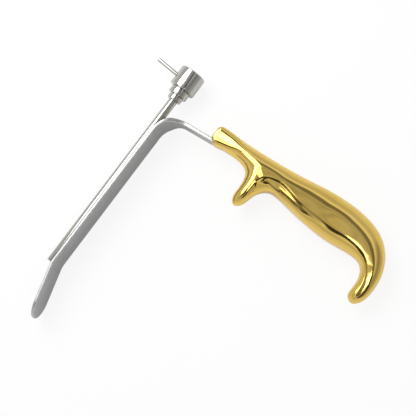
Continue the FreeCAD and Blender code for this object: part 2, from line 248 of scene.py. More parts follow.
class Bench:
    """A short way to lay out the nodes of a material, the world or a lamp."""

    def __init__(self, owner: bpy.types.ID, output: str) -> None:
        """Start an empty node tree.

        Args:
            owner: the material, world or lamp.
            output: the kind of its output node.
        """
        owner.use_nodes = True
        self.owner = owner
        self.nodes = owner.node_tree.nodes
        self.links = owner.node_tree.links
        self.nodes.clear()
        self.output = self.nodes.new("ShaderNodeOutput" + output)
        self.noises: dict[Grain, Socket] = {}

    @classmethod
    def material(cls, name: str) -> "Bench":
        """Start a new material."""
        return cls(bpy.data.materials.new(name), "Material")

    def node(self, kind: str, settings: dict | None = None, **inputs) -> bpy.types.Node:
        """Add a node.

        Args:
            kind: the node's type name after "ShaderNode".
            settings: attributes of the node itself.
            inputs: values or sockets by input name, with underscores for spaces, or by an
                underscore and the input's number.

        Returns:
            The node.
        """
        node = self.nodes.new("ShaderNode" + kind)
        for key, value in (settings or {}).items():
            setattr(node, key, value)
        for key, value in inputs.items():
            numbered = key[1:].isdigit()
            socket = node.inputs[int(key[1:]) if numbered else key.replace("_", " ")]
            if isinstance(value, Socket):
                self.links.new(value, socket)
            else:
                socket.default_value = value
        return node

    def finish(self, shader: bpy.types.Node) -> None:
        """Send a shader to the output."""
        self.links.new(shader.outputs[0], self.output.inputs["Surface"])

    def combine(self, operation: str, *values: float | Socket, clamp: bool = False) -> Socket:
        """The result of an operation on numbers."""
        inputs = {f"_{place}": value for place, value in enumerate(values)}
        settings = {"operation": operation, "use_clamp": clamp}
        return self.node("Math", settings, **inputs).outputs[0]

    def facing(self, vector: Socket, direction: Triple) -> Socket:
        """The cosine of the angle between a unit vector and a fixed direction."""
        settings = {"operation": "DOT_PRODUCT"}
        return self.node("VectorMath", settings, _0=vector, _1=direction).outputs["Value"]

    def smooth(self, value: float | Socket, **limits: float) -> Socket:
        """A value carried over from one range to another along a smooth step."""
        settings = {"interpolation_type": "SMOOTHSTEP"}
        return self.node("MapRange", settings, Value=value, **limits).outputs[0]

    def spread(self, value: Socket, low: float, high: float, start: float = 0.25,
               end: float = 0.75) -> Socket:
        """A value from start..end stretched to low..high, clamped."""
        return self.node("MapRange", Value=value, From_Min=start, From_Max=end, To_Min=low,
                         To_Max=high).outputs[0]

    def place(self, turn: float = 0.0, squeeze: float = 1.0) -> Socket:
        """Object coordinates, turned about Z (degrees) and made finer across that direction."""
        where = self.node("TexCoord").outputs["Object"]
        spin = self.node("Mapping", {"vector_type": "TEXTURE"}, Vector=where,
                         Rotation=(0.0, 0.0, math.radians(turn))).outputs["Vector"]
        return self.node("Mapping", Vector=spin, Scale=(1.0, squeeze, squeeze)).outputs["Vector"]

    def noise(self, grain: Grain) -> Socket:
        """A grain's value from 0 to 1, laid out once."""
        if grain not in self.noises:
            self.noises[grain] = self.node(
                "TexNoise", Vector=self.place(grain.turn, grain.squeeze), Scale=grain.scale,
                Detail=grain.detail, Roughness=grain.roughness).outputs[0]
        return self.noises[grain]

    def worn(self) -> Socket:
        """How worn the surface is, from 0 to 1."""
        return self.node("Attribute", {"attribute_name": "wear"}).outputs["Fac"]

    def blend(self, share: Socket, first: Triple, second: Triple) -> Socket:
        """Two colours mixed by a share."""
        return self.node("Mix", {"data_type": "RGBA"}, _0=share, _6=(*first, 1.0),
                         _7=(*second, 1.0)).outputs[2]

    def bump(self, height: Socket, strength: float, depth: float,
             normal: Socket | None = None) -> Socket:
        """A bump of a depth in metres, on top of another one where given."""
        node = self.node("Bump", Height=height, Strength=strength, Distance=depth)
        if normal is not None:
            self.links.new(normal, node.inputs["Normal"])
        return node.outputs["Normal"]

    def relief(self, *grains: Grain) -> Socket:
        """The bumps of several grains, each on top of the one before."""
        normal = None
        for grain in grains:
            normal = self.bump(self.noise(grain), grain.strength, grain.depth, normal)
        return normal


@dataclass(frozen=True)
class Metal:
    """A metal finish: two tones mixed by a noise, the paler one where it is worn, and bumps.

    Attributes:
        name: the material's name.
        pale: the paler tone.
        dark: the darker tone.
        rough: the roughness at the ends of the noise.
        mottle: the noise.
        mottled: how much of the paler tone the noise brings in at most.
        bumps: the grains that roughen the surface, each on top of the one before.
    """

    name: str
    pale: Triple
    dark: Triple
    rough: Pair
    mottle: Grain
    mottled: float
    bumps: tuple[Grain, ...] = ()

    def roughness(self, bench: Bench) -> Socket:
        """The roughness, which follows the noise."""
        return bench.spread(bench.noise(self.mottle), *self.rough)

    def normal(self, bench: Bench) -> Socket:
        """The normal after all the bumps."""
        return bench.relief(*self.bumps)

    def material(self) -> bpy.types.Material:
        """Build the node tree."""
        bench = Bench.material(self.name)
        tone = bench.spread(bench.noise(self.mottle), 0.0, self.mottled)
        tone = bench.combine("ADD", tone, bench.worn(), clamp=True)
        bench.finish(bench.node(
            "BsdfPrincipled", Metallic=1.0, Base_Color=bench.blend(tone, self.dark, self.pale),
            Roughness=self.roughness(bench), Normal=self.normal(bench)))
        return bench.owner


@dataclass(frozen=True)
class BrushedMetal(Metal):
    """A metal with a silk-matt grain, whose roughness goes by the wear and by clouds.

    Here `rough` is the roughness of the plain faces and of the rubbed edges.
    """

    cloud: Grain = Grain(60.0, 3.0)
    cloud_gain: Pair = (0.85, 1.2)

    def roughness(self, bench: Bench) -> Socket:
        """The roughness, which follows the wear and the clouds."""
        rubbed = bench.spread(bench.worn(), *self.rough, start=0.0, end=1.0)
        clouds = bench.spread(bench.noise(self.cloud), *self.cloud_gain)
        return bench.combine("MULTIPLY", rubbed, clouds)


@dataclass(frozen=True)
class TurnedMetal(Metal):
    """A turned and polished metal, with faint rings left by the lathe tool."""

    axis_turn: float = 53.15
    ring_scale: float = 900.0
    ring_wander: float = 1.5
    ring_strength: float = 0.02
    ring_depth: float = 0.00003

    def normal(self, bench: Bench) -> Socket:
        """The normal after the tool's rings."""
        rings = bench.node(
            "TexWave", {"wave_type": "BANDS", "bands_direction": "X"},
            Vector=bench.place(self.axis_turn), Scale=self.ring_scale,
            Distortion=self.ring_wander, Detail=1.0).outputs[1]
        return bench.bump(rings, self.ring_strength, self.ring_depth)


GOLD_PLATE = Metal(
    name="gold plate",
    pale=(0.86, 0.625, 0.19),
    dark=(0.78, 0.54, 0.13),
    rough=(0.045, 0.1),
    mottle=Grain(70.0, 4.0, 0.6),
    mottled=0.6,
    bumps=(
        Grain(28.0, 2.0, turn=-36.0, squeeze=5.0, strength=0.35, depth=0.0002),
        Grain(55.0, 1.0, turn=-36.0, squeeze=2.2, strength=0.35, depth=0.00025),
        Grain(900.0, 2.0, turn=-36.0, squeeze=9.0, strength=0.06, depth=0.00004)))
STRIP_GRAIN = Grain(260.0, 4.0, 0.7, turn=53.0, squeeze=16.0, strength=0.07, depth=0.00005)
SATIN_STEEL = BrushedMetal(
    name="satin steel",
    pale=(0.5, 0.5, 0.495),
    dark=(0.39, 0.392, 0.39),
    rough=(0.34, 0.38),
    mottle=STRIP_GRAIN,
    mottled=0.5,
    bumps=(STRIP_GRAIN, Grain(2600.0, 2.0, strength=0.04, depth=0.00004)))
POLISHED_STEEL = TurnedMetal(
    name="polished steel",
    pale=(0.46, 0.45, 0.42),
    dark=(0.37, 0.357, 0.325),
    rough=(0.09, 0.17),
    mottle=Grain(160.0, 4.0, 0.6),
    mottled=0.7)
SILVER_SOLDER = Metal(
    name="silver solder",
    pale=(0.5, 0.49, 0.46),
    dark=(0.38, 0.365, 0.335),
    rough=(0.2, 0.36),
    mottle=Grain(150.0, 4.0),
    mottled=1.0,
    bumps=(Grain(420.0, 3.0, strength=0.15, depth=0.0001),))


@dataclass(frozen=True)
class FibreGlass:
    """The polished end of thousands of glass fibres packed in dark resin."""

    glass: Triple = (0.72, 0.74, 0.7)
    resin: Triple = (0.05, 0.045, 0.035)
    fibre: float = 0.09
    resin_share: Pair = (0.02, 0.12)
    rough: float = 0.12
    refraction: float = 1.52

    def material(self) -> bpy.types.Material:
        """Build the node tree."""
        bench = Bench.material("glass fibre")
        cells = bench.node("TexVoronoi", {"feature": "DISTANCE_TO_EDGE"}, Vector=bench.place(),
                           Scale=1.0 / (self.fibre * MM)).outputs["Distance"]
        core = bench.spread(cells, 0.0, 1.0, *self.resin_share)
        bench.finish(bench.node(
            "BsdfPrincipled", Base_Color=bench.blend(core, self.resin, self.glass),
            Roughness=self.rough, IOR=self.refraction))
        return bench.owner


@dataclass(frozen=True)
class Spline:
    """A cubic curve through points, by chord length, closed or open."""

    knots: Array
    points: Array
    slopes: Array
    walk_marks: int = 1200

    @staticmethod
    def through(points: Sequence[Sequence[float]], closed: bool = False,
                start: Array | None = None) -> "Spline":
        """Solve the slopes at the points so that the second derivative is continuous.

        For each inner point, slope(k-1)/h(k-1) + 2 slope(k) (1/h(k-1) + 1/h(k)) + slope(k+1)/h(k)
        equals 3 (step(k-1)/h(k-1)^2 + step(k)/h(k)^2), where h are chord lengths and step the
        differences. An open end takes the slope of the parabola through the three points there,
        or a given one.

        Args:
            points: the points, of any dimension.
            closed: whether the curve returns to its first point.
            start: the slope at the first point of an open curve, per chord length.

        Returns:
            The curve.
        """
        nodes = np.array(points, dtype=float)
        if closed:
            nodes = np.vstack([nodes, nodes[:1]])
        steps = np.diff(nodes, axis=0)
        chords = np.linalg.norm(steps, axis=1)
        rates = steps / chords[:, None]
        count = len(nodes)
        matrix = np.zeros((count, count))
        right = np.zeros_like(nodes)
        inner = np.arange(1, count - 1)
        matrix[inner, inner - 1] = 1 / chords[:-1]
        matrix[inner, inner] = 2 / chords[:-1] + 2 / chords[1:]
        matrix[inner, inner + 1] = 1 / chords[1:]
        right[inner] = 3 * (rates[:-1] / chords[:-1, None] + rates[1:] / chords[1:, None])
        if closed:
            matrix[0, 0] = 2 / chords[0] + 2 / chords[-1]
            matrix[0, [1, count - 2]] = 1 / chords[[0, -1]]
            right[0] = 3 * (rates[0] / chords[0] + rates[-1] / chords[-1])
            matrix[-1, [0, count - 1]] = [1.0, -1.0]
        else:
            for end, beyond in ((0, 1), (-1, -2)):
                matrix[end, end] = 1.0
                bend = (rates[end] - rates[beyond]) / (chords[end] + chords[beyond])
                right[end] = rates[end] + bend * chords[end]
            if start is not None:
                right[0] = start
        knots = np.concatenate([[0.0], np.cumsum(chords)])
        return Spline(knots, nodes, np.linalg.solve(matrix, right))

    def at(self, places: Array) -> tuple[Array, Array]:
        """Points and slopes of the curve.

        Each span is a cubic Hermite blend of its end points and end slopes.

        Args:
            places: knot values.

        Returns:
            (n, d) points and (n, d) slopes.
        """
        span = np.searchsorted(self.knots, places, side="right") - 1
        span = np.clip(span, 0, len(self.knots) - 2)
        width = (self.knots[span + 1] - self.knots[span])[:, None]
        t = (places - self.knots[span])[:, None] / width
        p0, p1 = self.points[span], self.points[span + 1]
        m0, m1 = self.slopes[span] * width, self.slopes[span + 1] * width
        point = ((2 * t**3 - 3 * t**2 + 1) * p0 + (t**3 - 2 * t**2 + t) * m0
                 + (3 * t**2 - 2 * t**3) * p1 + (t**3 - t**2) * m1)
        slope = ((6 * t**2 - 6 * t) * (p0 - p1) + (3 * t**2 - 4 * t + 1) * m0
                 + (3 * t**2 - 2 * t) * m1)
        return point, slope / width

    def walk(self, start: float, end: float, shares: Array) -> Array:
        """Knot values at shares of the length from one knot value to another, either way."""
        fine = np.linspace(start, end, self.walk_marks)
        steps = np.linalg.norm(np.diff(self.at(fine)[0], axis=0), axis=1)
        length = np.concatenate([[0.0], np.cumsum(steps)])
        return np.interp(shares * length[-1], length, fine)


@dataclass(frozen=True)
class Branch:
    """A stretch of crest that the panels on its two sides share.

    Attributes:
        ridge: the crest (x, y, half thickness).
        ends: where the stretch starts and ends on the crest.
        pace: how fast the ribs advance at the two ends of the crest's run.
        edge_pace: the same, on the outline's run.
        ribs: how many steps there are along the stretch.
        fork_climb: the gradient that the ribs share at the fork.
    """

    ridge: Spline
    ends: Pair
    pace: Pair
    edge_pace: Pair
    ribs: int
    fork_climb: Array


@dataclass(frozen=True)
class Handle:
    """The cast pistol handle: a crest of varying thickness in an outline, in six ribbed panels.

    The outline's points are (distance past the shank's visible end, height), the crest's have the
    half thickness as well, and the powers are (share of the crest's run, power of the
    superellipse).
    """

    above_neck: Pairs = (
        (0.3, 6.6), (0.85, 10.3), (2.3, 12.2), (5, 12.65), (14.5, 11.85), (25, 11.15))
    above_grip: Pairs = (
        (37, 10.65), (49, 10.5), (65, 10.85), (81, 11.7), (97, 11.3), (112.6, 8.4),
        (125, 2.2), (133.2, -8.2), (136.4, -20), (135.9, -31), (133.2, -38.4))
    below_grip: Pairs = (
        (128.2, -41.7), (124.6, -39), (124.3, -33.6), (124.5, -26.2), (120.8, -18.7),
        (113, -16.4), (97.5, -16.5), (81.5, -14.7), (65.5, -11.3), (55.5, -8.85))
    behind_guard: Pairs = ((49.2, -8.9), (44.4, -12.6), (40.9, -19.8), (37.6, -25.6))
    before_guard: Pairs = ((34.6, -26.9), (31.9, -24.4), (31.3, -18.5), (31.6, -11.5))
    below_neck: Pairs = (
        (29.9, -5.2), (24.5, -1.7), (16, -0.5), (8, -0.3), (2.4, -0.25), (0.3, 2.2))

    neck_crest: Triples = (
        (3.2, 6.6, 7), (14, 6, 7.08), (25, 4.9, 7.64), (37, 1.9, 8.6))
    palm_crest: Triples = (
        (49, 0.6, 8.7), (65, -0.3, 9.25), (81, -1.4, 10), (97, -2.6, 10.6))
    hook_crest: Triples = (
        (109, -4.6, 9.93), (119, -9.4, 8.75), (125.8, -16.6, 7.63), (129.4, -25, 6.74),
        (129.6, -36.4, 5))
    guard_crest: Triples = (
        (38, -5, 8.1), (37.8, -12, 7.3), (36.8, -18, 6.4), (35.5, -23.3, 4.9))

    neck_above: Pairs = ((0, 5), (0.2, 4), (0.6, 2.2), (1, 2.4))
    neck_below: Pairs = ((0, 5), (0.2, 4), (0.6, 1.9), (1, 2))
    grip_above: Pairs = ((0, 2.4), (0.3, 2.6), (0.6, 2.5), (1, 2.1))
    grip_below: Pairs = (
        (0, 3.6), (0.15, 3.6), (0.35, 2.9), (0.6, 2.9), (0.8, 2.6), (1, 2.1))
    guard_behind: Pairs = ((0, 3.6), (0.35, 2), (1, 2.1))
    guard_before: Pairs = ((0, 2), (1, 2.1))

    ledge_line: Triples = (
        (39.9, -19, 0), (40.1, -13.5, 0.25), (40.8, -8.6, 0.36), (42, -5, 0.42),
        (44, -2.5, 0.44), (48, -1.1, 0.43), (53.4, -0.6, 0.42), (59.6, -2, 0.4),
        (67, -4.5, 0.35), (77, -7.4, 0.27), (89, -9.3, 0.17), (101, -9.9, 0.07),
        (112, -10.8, 0))
    ledge_width: float = 2.4
    ledge_marks: int = 900

    neck_ribs: int = 84
    grip_ribs: int = 216
    guard_ribs: int = 72
    steps_across: int = 54
    neck_pace: Pair = (0.35, 0.0)
    grip_pace: Pair = (0.0, 0.3)
    guard_pace: Pair = (0.0, 0.3)
    neck_edge_pace: Pair = (1.6, 0.85)
    grip_edge_pace: Pair = (0.95, 1.25)
    guard_edge_pace: Pair = (0.9, 1.3)
    finish: Metal = GOLD_PLATE

    @staticmethod
    def shifted(run: Sequence[Sequence[float]]) -> list[tuple[float, ...]]:
        """A run of points moved out along the shank to the handle's front."""
        return [(SHANK_REACH + point[0], *point[1:]) for point in run]

    @staticmethod
    def climb(slope: Array) -> Array:
        """Gradient of the half thickness along a crest: rise over run, as a flat direction."""
        run = slope[:, :2]
        return run * (slope[:, 2:3] / (run**2).sum(axis=1, keepdims=True))

    @staticmethod
    def between(shares: Array, marks: Sequence[Pair]) -> Array:
        """Values at shares of a run, eased level from each (share, value) mark to the next."""
        places, values = np.array(marks, dtype=float).T
        span = np.clip(np.searchsorted(places, shares, side="right") - 1, 0, len(places) - 2)
        t = (shares - places[span]) / (places[span + 1] - places[span])
        return values[span] + (values[span + 1] - values[span]) * t * t * (3 - 2 * t)

    def ledge(self, flat: Array) -> Array:
        """Depth of the shallow ledge round the inside of the fork, in millimetres.

        Across the ledge's line the surface eases down: depth = drop t^2 (3 - 2t), where t grows
        from 0 to 1 over the ledge's width and the line's third coordinate is the drop.

        Args:
            flat: (..., 2) places on the drawing plane.

        Returns:
            How far the surface lies below the plain crest's height at each place.
        """
        line = Spline.through(self.shifted(self.ledge_line))
        marks, slope = line.at(np.linspace(0.0, line.knots[-1], self.ledge_marks))
        places = flat.reshape(-1, 2)
        distance = (marks[:, :2] ** 2).sum(axis=1) - 2 * places @ marks[:, :2].T
        nearest = distance.argmin(axis=1)
        inward = np.stack([slope[:, 1], -slope[:, 0]], axis=1)
        inward /= np.linalg.norm(inward, axis=1, keepdims=True)
        past = ((places - marks[nearest, :2]) * inward[nearest]).sum(axis=1)
        t = np.clip(past / self.ledge_width + 0.5, 0.0, 1.0)
        drop = np.maximum(marks[nearest, 2], 0.0)
        return (drop * t * t * (3 - 2 * t)).reshape(flat.shape[:-1])

    def panel(self, outline: Spline, edge: Pair, branch: Branch,
              squares: Sequence[Pair]) -> Array:
        """Points of one panel of the near half.

        Each rib leaves the outline upright and reaches the crest level, as a quarter of a
        superellipse: far^n + rise^n = 1. Its height is the crest's, leaned outwards with the
        crest's own gradient, and near the fork with the gradient that the other crest has there.

        Args:
            outline: the closed side outline.
            edge: where the panel starts and ends on the outline.
            branch: the stretch of crest that the panel climbs to.
            squares: (share of the crest's run, power of the superellipse), eased between.

        Returns:
            A (ribs + 1, steps_across + 1, 3) grid.
        """
        shares = np.linspace(0.0, 1.0, branch.ribs + 1)
        along = ease(shares, *branch.pace)
        foot = outline.at(outline.walk(*edge, ease(shares, *branch.edge_pace)))[0]
        top, slope = branch.ridge.at(branch.ridge.walk(*branch.ends, along))
        first = slope[:1, :2] / np.linalg.norm(slope[0, :2])
        side = branch.fork_climb - first * (branch.fork_climb * first).sum()
        out = foot - top[:, :2]
        gradient = self.climb(slope) + side * ((1 - shares) ** 2)[:, None]
        lean = (gradient * out).sum(axis=1)[:, None]
        square = self.between(along, squares)[:, None]
        angle = np.linspace(0.0, math.pi / 2, self.steps_across + 1)[None, :]
        reach = (np.cos(angle) ** square + np.sin(angle) ** square) ** (-1 / square)
        far, rise = np.cos(angle) * reach, np.sin(angle) * reach
        far[:, -1] = 0.0
        rise[:, 0] = 0.0
        flat = top[:, None, :2] + out[:, None, :] * far[..., None]
        height = (top[:, 2:3] + lean * far - self.ledge(flat)) * rise
        return np.concatenate([flat, height[..., None]], axis=2)

    def branches(self) -> tuple[Branch, Branch, Branch]:
        """The neck's, the grip's and the guard's stretches of crest, which meet at the fork."""
        neck_points = self.shifted(self.neck_crest)
        ridge = Spline.through(neck_points + self.shifted(self.palm_crest + self.hook_crest))
        forked = float(ridge.knots[len(neck_points) - 1])
        fork_climb = self.climb(ridge.at(np.array([forked]))[1])
        guard_points = neck_points[-1:] + self.shifted(self.guard_crest)
        leave = np.array(guard_points[1]) - np.array(guard_points[0])
        leave[2] = (fork_climb[0] * leave[:2]).sum()
        guard = Spline.through(guard_points, start=leave / np.linalg.norm(leave))
        still = np.zeros((1, 2))
        return (
            Branch(ridge, (0.0, forked), self.neck_pace, self.neck_edge_pace, self.neck_ribs,
                   still),
            Branch(ridge, (forked, ridge.knots[-1]), self.grip_pace, self.grip_edge_pace,
                   self.grip_ribs, still),
            Branch(guard, (0.0, guard.knots[-1]), self.guard_pace, self.guard_edge_pace,
                   self.guard_ribs, fork_climb),
        )

    def surface(self) -> Surface:
        """All the panels and their mirror images, welded."""
        runs = [self.above_neck, self.above_grip, self.below_grip, self.behind_guard,
                self.before_guard, self.below_neck]
        outline = Spline.through([point for run in runs for point in self.shifted(run)],
                                 closed=True)
        starts = outline.knots[np.cumsum([0] + [len(run) for run in runs])]
        front, above_fork, hook_tip, behind_fork, guard_tip, before_fork, round_again = starts
        neck, grip, guard = self.branches()
        plan = [
            (front, above_fork, neck, self.neck_above, False),
            (round_again, before_fork, neck, self.neck_below, True),
            (above_fork, hook_tip, grip, self.grip_above, False),
            (behind_fork, hook_tip, grip, self.grip_below, True),
            (behind_fork, guard_tip, guard, self.guard_behind, False),
            (before_fork, guard_tip, guard, self.guard_before, True),
        ]
        halves = []
        for start, end, branch, squares, turned in plan:
            near = self.panel(outline, (start, end), branch, squares)
            halves += [grid_surface(near, flip=turned),
                       grid_surface(near * MIRROR, flip=not turned)]
        return halves[0].joined(*halves[1:]).welded()

    def build(self) -> list[bpy.types.Object]:
        """The handle as one piece."""
        return [make_piece("handle_casting", self.surface(), self.finish.material(),
                           Slot.HANDLE, ["handle"])]


@dataclass(frozen=True)
class Blade:
    """The bent steel strip: toe, main length, bend and shank, with rounded edges."""

    width: float = 25.0
    toe_length: float = 36.6
    toe_turn: float = 15.0
    toe_round: float = 11.0
    knee_radius: float = 16.0
    bend_radius: float = 14.0
    edge_round: float = 0.6
    shank_thickness: float = 2.75
    shank_width: float = 12.0
    shank_end_width: float = 11.2
    shoulder_start: float = 0.5
    shoulder_length: float = 12.5
    shoulder_bow: float = 0.4
    inside_handle: float = 3.0
    toe_steps: int = 70
    knee_steps: int = 16
    main_steps: int = 90
    bend_steps: int = 40
    shank_steps: int = 30
    shoulder_marks: int = 200
    edge_marks: int = 7
    face_steps: int = 8
    finish: Metal = SATIN_STEEL

    @staticmethod
    def cornered(corners: list[tuple[Array, float]], counts: list[int]) -> Array:
        """A line through corners, each rounded by a tangent arc, sampled run by run.

        The arc's centre lies on the corner's bisector at radius / sin(half angle), and each run's
        points are evenly spaced: straight, arc, straight, arc and so on.

        Args:
            corners: (point, radius), where the first and last radius are 0.
            counts: steps in each run.

        Returns:
            (n, 2) points.
        """
        runs = []
        last = corners[0][0]
        for k in range(1, len(corners) - 1):
            corner, radius = corners[k]
            before = corners[k - 1][0] - corner
            after = corners[k + 1][0] - corner
            before, after = before / np.linalg.norm(before), after / np.linalg.norm(after)
            half = math.acos(np.clip(before @ after, -1, 1)) / 2
            middle = (before + after) / np.linalg.norm(before + after)
            centre = corner + middle * radius / math.sin(half)
            enter = corner + before * radius / math.tan(half)
            leave = corner + after * radius / math.tan(half)
            share = np.linspace(0, 1, counts[2 * k - 2] + 1)[:-1, None]
            runs.append(last + share * (enter - last))
            full = math.pi - 2 * half
            share = np.linspace(0, 1, counts[2 * k - 1] + 1)[:-1, None]
            spokes = (np.sin((1 - share) * full) * (enter - centre)
                      + np.sin(share * full) * (leave - centre))
            runs.append(centre + spokes / math.sin(full))
            last = leave
        share = np.linspace(0, 1, counts[-1] + 1)[:, None]
        runs.append(last + share * (corners[-1][0] - last))
        return np.concatenate(runs)

    @staticmethod
    def meeting(point_a: Array, along_a: Array, point_b: Array, along_b: Array) -> Array:
        """Where two lines of the plane meet."""
        across = along_a[0] * along_b[1] - along_a[1] * along_b[0]
        gap = point_b - point_a
        return point_a + along_a * ((gap[0] * along_b[1] - gap[1] * along_b[0]) / across)

    def lines(self) -> tuple[Array, Array, Array]:
        """The strip's inner line, outer line and distance back from the tip, point for point."""
        up, back = PLANE.up_blade()[:2], PLANE.back_of_blade()[:2] * BLADE_THICKNESS
        toe = turn_about_z(-PLANE.up_blade(), self.toe_turn)[:2]
        toe_back = np.array([toe[1], -toe[0]]) * BLADE_THICKNESS
        lift = np.array([0.0, self.shank_thickness])
        corner = np.zeros(2)
        knee = -up * BLADE_LENGTH
        tip = knee + toe * self.toe_length
        end = np.array([SHANK_REACH + self.inside_handle, 0.0])
        outer_knee = self.meeting(back, up, tip + toe_back, toe)
        outer_corner = self.meeting(back, up, lift, np.array([1.0, 0.0]))
        counts = [self.toe_steps, self.knee_steps, self.main_steps, self.bend_steps,
                  self.shank_steps]
        inner = self.cornered(
            [(tip, 0), (knee, self.knee_radius), (corner, self.bend_radius), (end, 0)], counts)
        outer = self.cornered(
            [(tip + toe_back, 0), (outer_knee, self.knee_radius + BLADE_THICKNESS),
             (outer_corner, self.bend_radius + self.shank_thickness), (end + lift, 0)], counts)
        return inner, outer, (inner - tip) @ (-toe)

    def gather_tip(self, inner: Array, outer: Array, back: Array) -> None:
        """Move the toe's rows so that they follow its round end in even steps of angle.

        Args:
            inner: the strip's inner line, changed in place.
            outer: its outer line, changed in place.
            back: its distance back from the tip, changed in place.
        """
        count = int((back < self.toe_round).sum())
        wanted = self.toe_round * (1 - np.cos(np.linspace(0, math.pi / 2, count)))
        along = (inner[count + 1] - inner[0]) / back[count + 1]
        shift = (wanted - back[:count])[:, None] * along
        inner[:count] += shift
        outer[:count] += shift
        back[:count] = wanted

    def half_width(self, x: Array, back: Array) -> Array:
        """Half the strip's width: a half ellipse at the tip, full, then a cubic S to the shank.

        The shoulder is the cubic Bezier curve whose two inner controls lie level with its two
        ends.

        Args:
            x: distances along the shank from the corner.
            back: distances back from the tip.

        Returns:
            Half widths.
        """
        t = np.linspace(0, 1, self.shoulder_marks)
        start, span = self.shoulder_start, self.shoulder_length
        waist = start + span
        bow = self.shoulder_bow * span
        along = 3 * (1 - t) ** 2 * t * bow + 3 * (1 - t) * t**2 * bow + t**3 * span
        drop = 3 * (1 - t) * t**2 + t**3
        shoulder = np.interp(x, start + along,
                             (self.width + (self.shank_width - self.width) * drop) / 2)
        taper = (x - waist) / (SHANK_REACH + self.inside_handle - waist)
        beyond = (self.shank_width + (self.shank_end_width - self.shank_width) * taper) / 2
        squash = np.clip(1 - back / self.toe_round, 0, 1)
        toe = self.width / 2 * np.sqrt(1 - squash**2)
        strip = np.where(x < start, self.width / 2, np.where(x > waist, beyond, shoulder))
        return np.where(back < self.toe_round, toe, strip)

    def edge(self, inner: Array, outer: Array, plan_in: Array, plan_out: Array) -> Array:
        """The strip's rounded edge, row by row from the inner face to the outer one.

        Each row rounds the two corners with quarter circles, set in square to the plan's edge.

        Args:
            inner: the strip's inner line.
            outer: its outer line.
            plan_in: half widths along the inner line.
            plan_out: half widths along the outer line.

        Returns:
            (rows, 2 edge_marks, 3) points.
        """
        along = np.gradient(inner, axis=0)
        run = np.linalg.norm(along, axis=1)
        along = along / run[:, None]
        outward = np.stack([-np.gradient(plan_in), run], axis=1)
        outward /= np.linalg.norm(outward, axis=1, keepdims=True)
        outward[0] = [-1.0, 0.0]
        arc = np.linspace(0, math.pi / 2, self.edge_marks)
        inset = self.edge_round * (1 - np.sin(np.concatenate([arc, arc[::-1]])))
        depth = self.edge_round * (1 - np.cos(arc)) / np.linalg.norm(outer - inner, axis=1)[:, None]
        share = np.concatenate([depth, 1 - depth[:, ::-1]], axis=1)
        plan = plan_in[:, None] * (1 - share) + plan_out[:, None] * share
        share = share[..., None]
        base = inner[:, None] * (1 - share) + outer[:, None] * share
        flat = base - along[:, None] * (inset * outward[:, :1])[..., None]
        height = np.maximum(plan - inset * outward[:, 1:], 0.0)
        return np.concatenate([flat, height[..., None]], axis=2)

    def surface(self) -> Surface:
        """Half sections from the middle plane out over the inner face, round the edge and back."""
        inner, outer, back = self.lines()
        self.gather_tip(inner, outer, back)
        edge = self.edge(inner, outer, self.half_width(inner[:, 0], back),
                         self.half_width(outer[:, 0], back))
        widen = np.ones((self.face_steps, 3))
        widen[:, 2] = np.linspace(0, 1, self.face_steps + 1)[:-1]
        points = np.concatenate([edge[:, :1] * widen, edge, edge[:, -1:] * widen[::-1]], axis=1)
        plain = np.zeros(self.face_steps)
        wear = np.concatenate([plain, np.ones(edge.shape[1]), plain])
        end = points[-1]
        cap = Surface(np.concatenate([end, end[::-1] * MIRROR]), [tuple(range(2 * len(end)))],
                      np.zeros(2 * len(end)))
        near = grid_surface(points, flip=True, wear=wear)
        return near.joined(grid_surface(points * MIRROR, wear=wear), cap).welded()

    def build(self) -> list[bpy.types.Object]:
        """The blade as one piece."""
        return [make_piece("blade_strip", self.surface(), self.finish.material(), Slot.BLADE,
                           ["blade"])]


